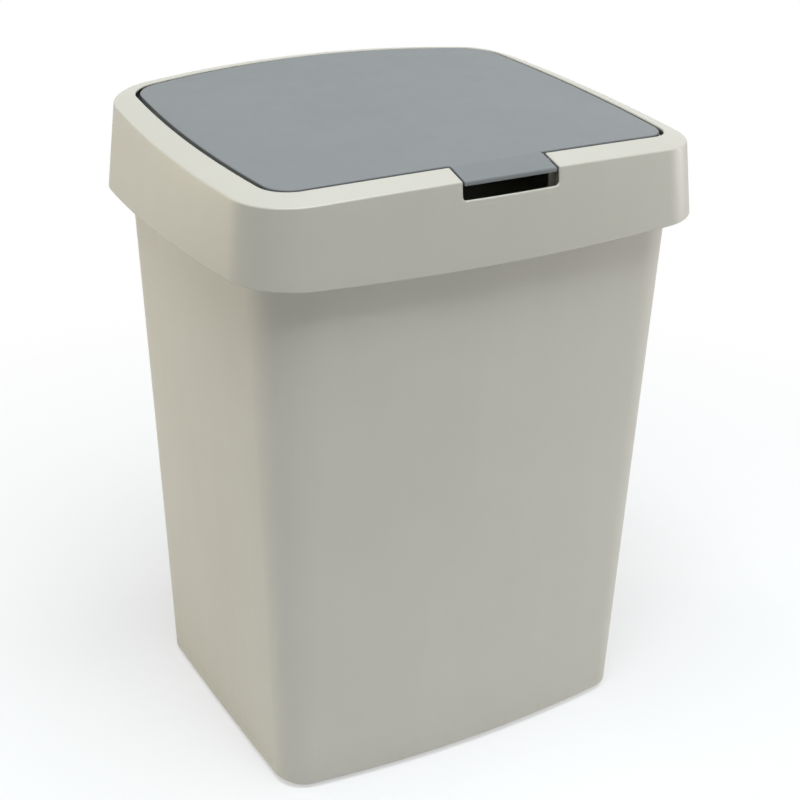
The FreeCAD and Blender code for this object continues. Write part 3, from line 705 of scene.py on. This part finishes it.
def makeBosses():
    h = hingeSizes
    sharp = math.radians(finishing["bevelAngle"])
    onInnerEnd = lambda middle, element: abs(abs(middle.x) - h["bossInner"]) < near
    bosses = []
    for sign in (-1, 1):
        start = h["bossInner"] if sign > 0 else -h["bossOuter"]
        boss = lyingRod(h["bossRadius"], start, h["bossOuter"] - h["bossInner"])
        selectWhere(boss, "FACE", onInnerEnd)
        bpy.ops.mesh.inset(thickness=(h["bossRadius"] - h["hole"]) * mm)
        sinkHole = {"value": (sign * h["holeDepth"] * mm, 0, 0)}
        bpy.ops.mesh.extrude_region_move(TRANSFORM_OT_translate=sinkHole)
        # The rims of the boss and of its hole, where faces meet at a right angle.
        rims = lambda middle, edge: onInnerEnd(middle, edge) and edge.calc_face_angle(0) > sharp
        selectWhere(boss, "EDGE", rims)
        bpy.ops.mesh.bevel(offset=h["edge"] * mm, segments=2, affect="EDGES")
        bpy.ops.mesh.select_all(action="SELECT")
        plane = {"plane_co": (0, 0, h["bossTop"] * mm), "plane_no": (0, 0, 1)}
        bpy.ops.mesh.bisect(**plane, use_fill=True, clear_outer=True, clear_inner=False)
        bpy.ops.object.mode_set(mode="OBJECT")
        bosses.append(boss)
    finishFrame(joined("lidBosses", bosses))


makeCap()
makeLip()
makeLedge()
makeWebs()
makeBosses()


# The flap

flapSizes = {
    "gap": 4.0, "sink": 0.4, "skin": 2.2, "edgeHeight": 6.0, "tabGap": 1.8, "tabDrop": 8.5,
    "tabSlack": 0.5, "creaseFrom": -170.0, "edge": 1.0,
    "ringShares": (0.965, 0.90, 0.80, 0.66, 0.5, 0.34, 0.18, 0.06),
}
ribSizes = {
    "thickness": 1.5, "pitch": 58.0, "low": 5.8, "high": 1.4, "room": 1.0, "steps": 24, "edge": 0.3,
    "acrossCount": 5, "alongCount": 4,
}
tabHalf = notchHalf - flapSizes["tabGap"]


def frontAt(shape, x):
    return shape["along"] - math.sqrt(shape["frontRadius"] ** 2 - x**2)


def mouthAt(x):
    return frontAt(openingAt(), x)


def flapTop(x, y):
    return crownAt(x, y) - flapSizes["sink"]


def tabFront(x):
    # Where the tab's top meets its front: on the skirt, sunk a little, at the height of the crease.
    z = flapTop(x, flapSizes["creaseFrom"]) - skirtSizes["rimDrop"]
    return frontAt(skirtAt(z, flapSizes["sink"]), x), z


def finishFlap(piece, edge, **bevel):
    finishPiece(piece, "flap", "flap", "flap_plastic", flapPlastic, edge, **bevel)


def makeFlap():
    # The crowned sheet first, then the tab drawn out of its front edge, then the turned-down edge.
    f = flapSizes
    outline = openingAt(f["gap"])
    edgeRing = ring(lambda z: outline, flapTop, tabHalf)
    piece = startRing("flapPanel", edgeRing)
    for share in f["ringShares"]:
        places = [(point.x * share / mm, point.y * share / mm) for point in edgeRing]
        growRing(piece, [Vector((x, y, flapTop(x, y))) * mm for x, y in places])
    bpy.ops.mesh.merge(type="CENTER")
    onTab = lambda middle, edge: edge.is_boundary and middle.y < 0 and abs(middle.x) < tabHalf
    selectWhere(piece, "EDGE", onTab)

    def drawTab(share):
        # From the opening's edge, at share 0, down the rim's slope to the tab's front, at share 1.
        def place(x, y, z):
            frontY, frontZ = tabFront(x)
            mouthY, mouthZ = mouthAt(x), flapTop(x, mouthAt(x))
            return x, mouthY + (frontY - mouthY) * share, mouthZ + (frontZ - mouthZ) * share

        return place

    def turnDown(x, y, z):
        # Deeper on the tab than on the panel, and the tab's front follows the skirt's lean.
        if y < mouthAt(x) + f["tabSlack"] and abs(x) < tabHalf + near:
            low = crownAt(x, y) - f["tabDrop"]
            if y < tabFront(x)[0] + f["tabSlack"]:
                y = frontAt(skirtAt(low, f["sink"]), x)
            return x, y, low
        return x, y, flapTop(x, y) - f["edgeHeight"]

    for share in (0, 0.5, 1):
        bpy.ops.mesh.extrude_edges_indiv()
        moveSelected(piece, drawTab(share))
    selectWhere(piece, "EDGE", lambda middle, edge: edge.is_boundary)
    bpy.ops.mesh.extrude_edges_indiv()
    moveSelected(piece, turnDown)
    faceOutward(piece, lambda centre: Vector((0, 0, 1)))
    bpy.ops.object.mode_set(mode="OBJECT")
    thicken(piece, f["skin"])
    finishFlap(piece, f["edge"], clamp=False)


def makeRibs():
    # A grid of shallow ribs that hangs under the skin.
    r = ribSizes
    ribs = []
    inner = openingAt(flapSizes["gap"] + r["room"])
    places = [(0, place) for place in spread(r["acrossCount"], r["pitch"])]
    places += [(1, place) for place in spread(r["alongCount"], r["pitch"])]
    for axis, place in places:
        reach = reachAlong(inner, axis, place, 1)
        clearSelection()
        bpy.ops.mesh.primitive_grid_add(x_subdivisions=r["steps"], y_subdivisions=1, size=2)
        rib = bpy.context.object
        bpy.ops.object.mode_set(mode="EDIT")
        mesh = bmesh.from_edit_mesh(rib.data)
        for vert in mesh.verts:
            along = vert.co.x * reach
            x, y = (place, along) if axis == 0 else (along, place)
            drop = r["high"] if vert.co.y > 0 else r["low"]
            vert.co = Vector((x, y, crownAt(x, y) - drop)) * mm
        writeBack(rib, mesh)
        bpy.ops.object.mode_set(mode="OBJECT")
        applyModifier(rib, "SOLIDIFY", thickness=r["thickness"] * mm, offset=0)
        ribs.append(rib)
    finishFlap(joined("flapRibs", ribs), r["edge"], segments=2)


def makeLugs():
    # Two hinge eyes: a rod whose upper half is drawn up into the skin.
    h = hingeSizes
    lugs = []

    def lift(x, y, z):
        rise = crownAt(x, y) - h["lugTop"] - h["z"]
        share = (z - h["z"]) / h["lugRadius"]
        side = -1 if y < h["y"] else 1
        width = h["lugRadius"] * min(1.0, abs(y - h["y"]) / h["lugRadius"] * (1 + share))
        return x, h["y"] + side * width, h["z"] + rise * min(1.0, share * h["lugWiden"])

    for sign in (-1, 1):
        start = h["lugInner"] if sign > 0 else -h["lugInner"] - h["lugLength"]
        lug = lyingRod(h["lugRadius"], start, h["lugLength"])
        selectWhere(lug, "VERT", lambda middle, vert: middle.z > h["z"] + near)
        moveSelected(lug, lift)
        bpy.ops.mesh.select_all(action="SELECT")
        bpy.ops.mesh.remove_doubles(threshold=h["lugMerge"] * mm)
        bpy.ops.object.mode_set(mode="OBJECT")
        lugs.append(lug)
    finishFlap(joined("flapLugs", lugs), h["edge"], segments=2)


makeFlap()
makeRibs()
makeLugs()


# The hinge pins stay as they are in CAD, with their own finish

for name in ("hinge_pin_left", "hinge_pin_right"):
    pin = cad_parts[name]
    pin.data.materials.clear()
    pin.data.materials.append(pinPlastic)
print("pins dressed")


# Floor, backdrop, light and camera

studio = {
    "floor": (0.82, 0.82, 0.82), "floorRough": 0.9, "floorSize": 12.0, "world": 0.14,
    "whiteNear": 0.5, "whiteFrom": 0.35, "whiteFull": 1.0,
}
lamps = {
    "topPanel": {
        "at": (-0.2, -0.55, 2.5), "aim": (0.0, 0.0, 0.5),
        "size": 1.6, "power": 76.0, "colour": (0.89, 0.95, 1.0),
    },
    "leftPanel": {
        "at": (-1.8, 1.95, 0.5), "aim": (0.0, 0.0, 0.3),
        "size": 0.6, "power": 22.5, "colour": (1.0, 0.91, 0.66),
    },
    "rightPanel": {
        "at": (2.6, -0.5, 0.5), "aim": (0.0, 0.0, 0.3),
        "size": 0.9, "power": 23.0, "colour": (1.0, 0.98, 0.95),
    },
    "frontPanel": {
        "at": (1.9, -1.9, 0.5), "aim": (0.0, 0.0, 0.3),
        "size": 0.9, "power": 2.0, "colour": (1.0, 0.85, 0.80),
    },
}


def seenRays(tree):
    # 1 for what the camera sees, straight or in a gloss, and 0 for light on its way to the object.
    kinds = ("Is Camera Ray", "Is Glossy Ray", "Is Transmission Ray")
    rays = [addNode(tree, "ShaderNodeLightPath", {}, {}, kind) for kind in kinds]
    return addNode(tree, "ShaderNodeClamp", {}, {0: rays[0] + rays[1] + rays[2]})


def makeFloor():
    s = studio
    clearSelection()
    bpy.ops.mesh.primitive_plane_add(size=s["floorSize"], location=(0, 0, 0))
    floor = bpy.context.object
    floor.name = "studioFloor"
    material = bpy.data.materials.new("studioFloorPaint")
    material.use_nodes = True
    tree = material.node_tree
    painted = tree.nodes["Principled BSDF"]
    painted.inputs["Base Color"].default_value = (*s["floor"], 1)
    painted.inputs["Roughness"].default_value = s["floorRough"]
    # The floor turns to plain white away from the object: its shadow stays, the rest is the backdrop.
    where = addNode(tree, "ShaderNodeTexCoord", {}, {}, "Object")
    away = addNode(tree, "ShaderNodeVectorMath", {"operation": "LENGTH"}, {0: where}, "Value")
    fade = band(away, s["whiteFrom"], s["whiteFull"], 1 - s["whiteNear"])
    white = seenRays(tree) * (s["whiteNear"] + fade)
    glow = addNode(tree, "ShaderNodeEmission", {}, {"Color": (1, 1, 1, 1), "Strength": 1.0})
    paint = Wire(tree, painted.outputs[0])
    mixed = addNode(tree, "ShaderNodeMixShader", {}, {0: white, 1: paint, 2: glow})
    tree.links.new(mixed.socket, tree.nodes["Material Output"].inputs["Surface"])
    floor.data.materials.append(material)


def makeWorld():
    world = bpy.data.worlds.new("studioWorld")
    bpy.context.scene.world = world
    world.use_nodes = True
    tree = world.node_tree
    background = tree.nodes["Background"]
    background.inputs["Color"].default_value = (1, 1, 1, 1)
    strength = seenRays(tree) * (1 - studio["world"]) + studio["world"]
    tree.links.new(strength.socket, background.inputs["Strength"])


def makeLamps():
    for name, lamp in lamps.items():
        bpy.ops.object.light_add(type="AREA", location=lamp["at"])
        light = bpy.context.object
        light.name = name
        light.data.shape = "SQUARE"
        light.data.size = lamp["size"]
        light.data.energy = lamp["power"]
        light.data.color = lamp["colour"]
        aim = Vector(lamp["aim"]) - Vector(lamp["at"])
        light.rotation_euler = aim.to_track_quat("-Z", "Y").to_euler()


# The focal length and the picture's middle are in pixels of a picture 800 pixels wide.
camera = {
    "azimuth": -29.694, "elevation": 25.194, "roll": 0.844, "distance": 1.346508,
    "lookAt": (0.0, 0.0, 0.27), "focal": 1560.913, "middleX": 391.113, "middleY": 399.270,
    "picture": 800.0, "sensor": 36.0,
}


def makeCamera():
    c = camera
    azimuth, elevation, roll = (math.radians(c[key]) for key in ("azimuth", "elevation", "roll"))
    flat = math.cos(elevation)
    target = Vector(c["lookAt"])
    back = Vector((flat * math.sin(azimuth), -flat * math.cos(azimuth), math.sin(elevation)))
    right = Vector((0, 0, 1)).cross(back).normalized()
    up = back.cross(right)
    turnedRight = math.cos(roll) * right + math.sin(roll) * up
    turnedUp = math.cos(roll) * up - math.sin(roll) * right
    bpy.ops.object.camera_add()
    view = bpy.context.object
    view.name = "photoCamera"
    turn = Matrix((turnedRight, turnedUp, back)).transposed().to_4x4()
    view.matrix_world = Matrix.Translation(target + back * c["distance"]) @ turn
    view.data.sensor_width = c["sensor"]
    view.data.lens = c["focal"] / c["picture"] * c["sensor"]
    view.data.shift_x = (c["picture"] / 2 - c["middleX"]) / c["picture"]
    view.data.shift_y = (c["middleY"] - c["picture"] / 2) / c["picture"]
    bpy.context.scene.camera = view


makeFloor()
makeWorld()
makeLamps()
makeCamera()
bpy.context.scene.view_settings.view_transform = "Standard"
print("studio and camera made")
